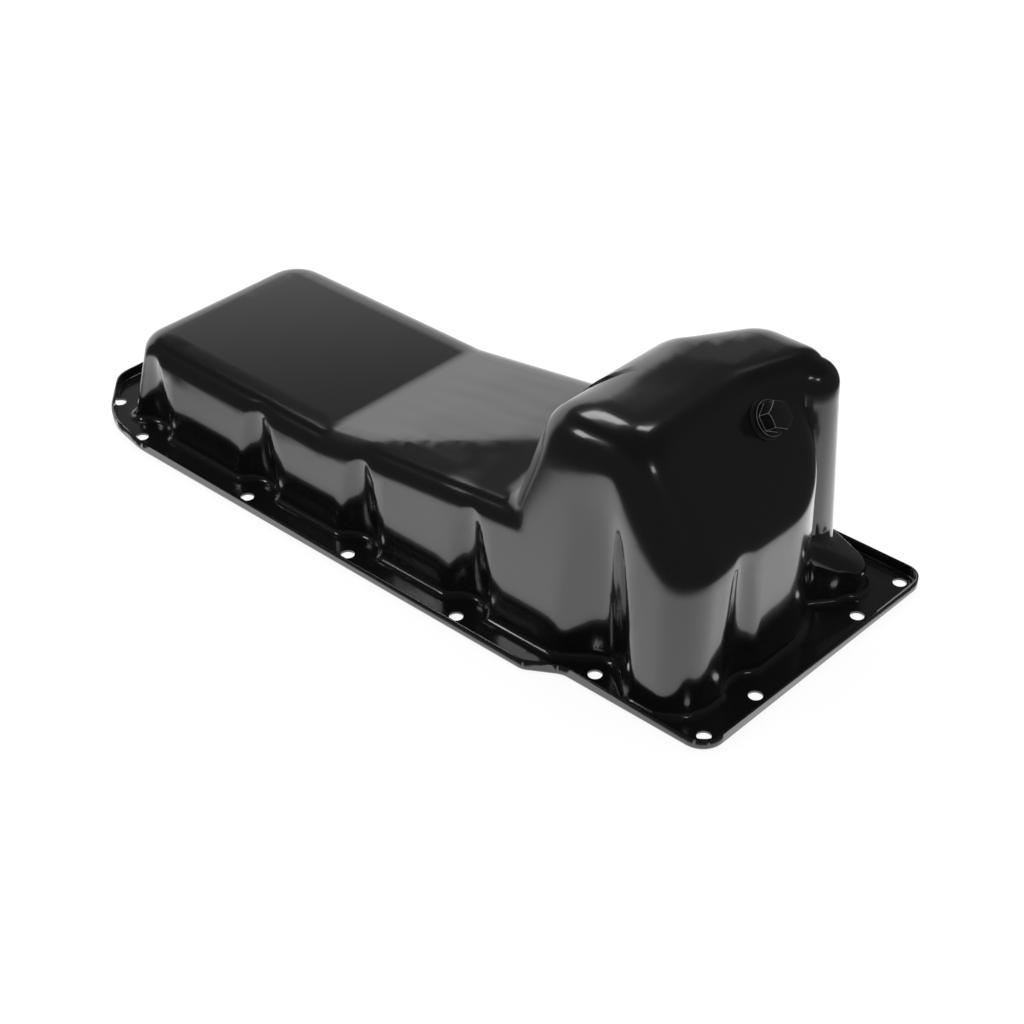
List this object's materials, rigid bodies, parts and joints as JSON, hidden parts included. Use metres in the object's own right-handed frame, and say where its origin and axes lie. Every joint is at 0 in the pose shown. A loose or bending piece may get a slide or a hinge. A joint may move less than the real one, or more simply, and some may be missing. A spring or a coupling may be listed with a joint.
{
  "type": "engine oil pan",
  "caption": "Deep drawn steel oil pan with a flat bolting flange, a shallow tray, a deep sump and a screw drain plug on the sump's sloping end.",
  "frame": {"origin": "middle of the gasket face, which is the bottom centre of the bounding box", "axes": "+X runs along the flange to the sump end, +Z is square to the gasket face and points to the sump floor, -Y is the rail whose bolt pockets face the viewer"},
  "size_m": [0.5872, 0.247, 0.173],
  "materials": {
    "black_paint": "gloss",
    "plug_finish": "satin",
    "seal": "satin"
  },
  "bodies": {
    "pan": {"oil_pan": "black_paint", "drain_nut": "black_paint"},
    "gasket": {"plug_gasket": "seal"},
    "plug": {"drain_plug": "plug_finish"}
  },
  "joints": [
    {"name": "plug_travel", "type": "slide", "parent": "pan", "child": "gasket", "axis": [0.8, 0, 0.6], "range_m": [0, 0.012]},
    {"name": "plug_turn", "type": "hinge", "parent": "gasket", "child": "plug", "pos_m": [0.229, 0.017, 0.1504], "axis": [0.8, 0, 0.6], "range_deg": [0, 2880]}
  ],
  "couplings": [
    {"joint": "plug_turn", "follows": "plug_travel", "rad_per_m": 4188.8}
  ]
}
